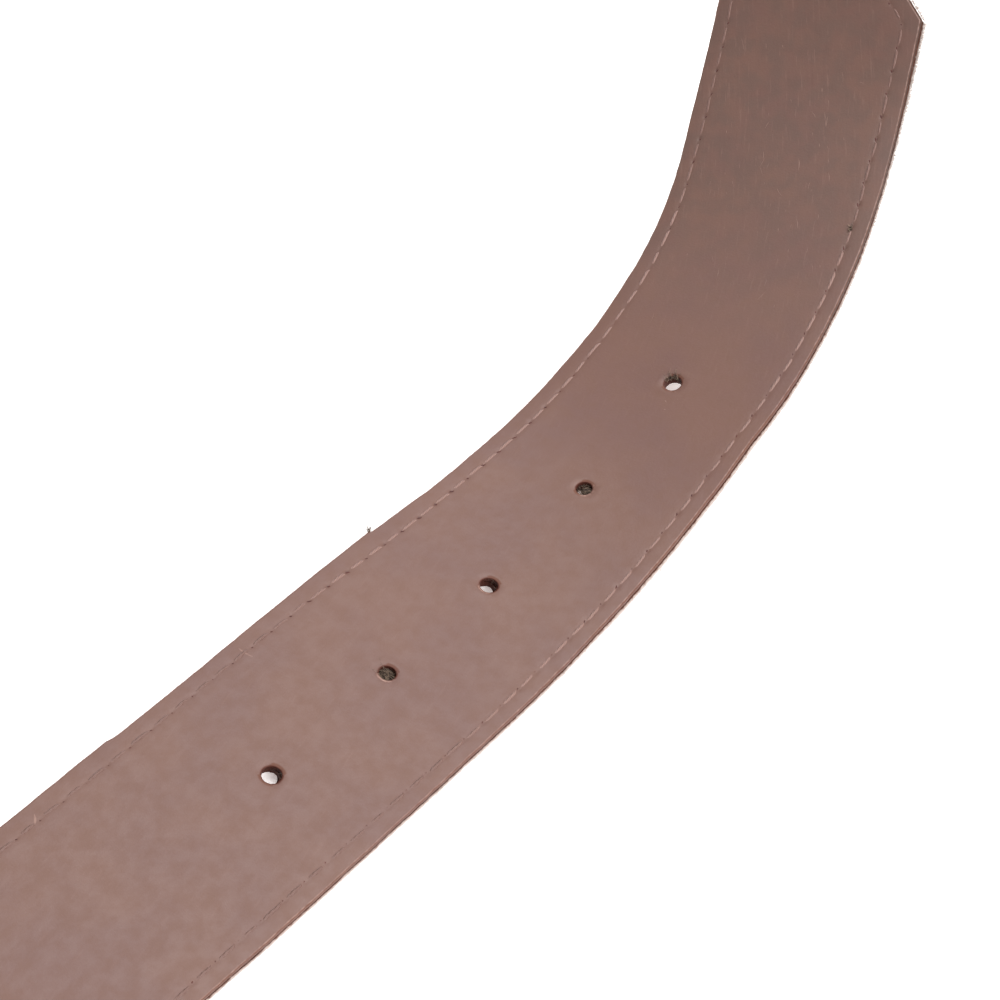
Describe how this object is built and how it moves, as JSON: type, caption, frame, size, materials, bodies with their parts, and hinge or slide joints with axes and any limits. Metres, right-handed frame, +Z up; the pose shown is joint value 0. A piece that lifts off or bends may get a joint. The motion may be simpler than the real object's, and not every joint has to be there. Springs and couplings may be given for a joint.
{
  "type": "waist belt",
  "caption": "Lined and edge-stitched leather waist belt with a pointed holed tail, a plain prong buckle and a keeper loop, lying face down with the tail curling up.",
  "frame": {"origin": "centre of the belt's footprint, at the height of the table it lies on", "axes": "+X along the belt from the buckle to the pointed tail, +Y to the left of that, +Z up from the table"},
  "size_m": [1.0738, 0.0704, 0.064],
  "materials": {
    "face_leather": "smooth brown leather, fibrous on its cut edge",
    "lining_leather": "smooth semi-matt pinkish brown leather",
    "keeper_leather": "smooth brown leather",
    "buckle_metal": "satin nickel plating"
  },
  "bodies": {
    "root": {"face_strap": "face_leather", "lining_strap": "lining_leather", "buckle": "buckle_metal", "keeper": "keeper_leather"}
  },
  "joints": []
}
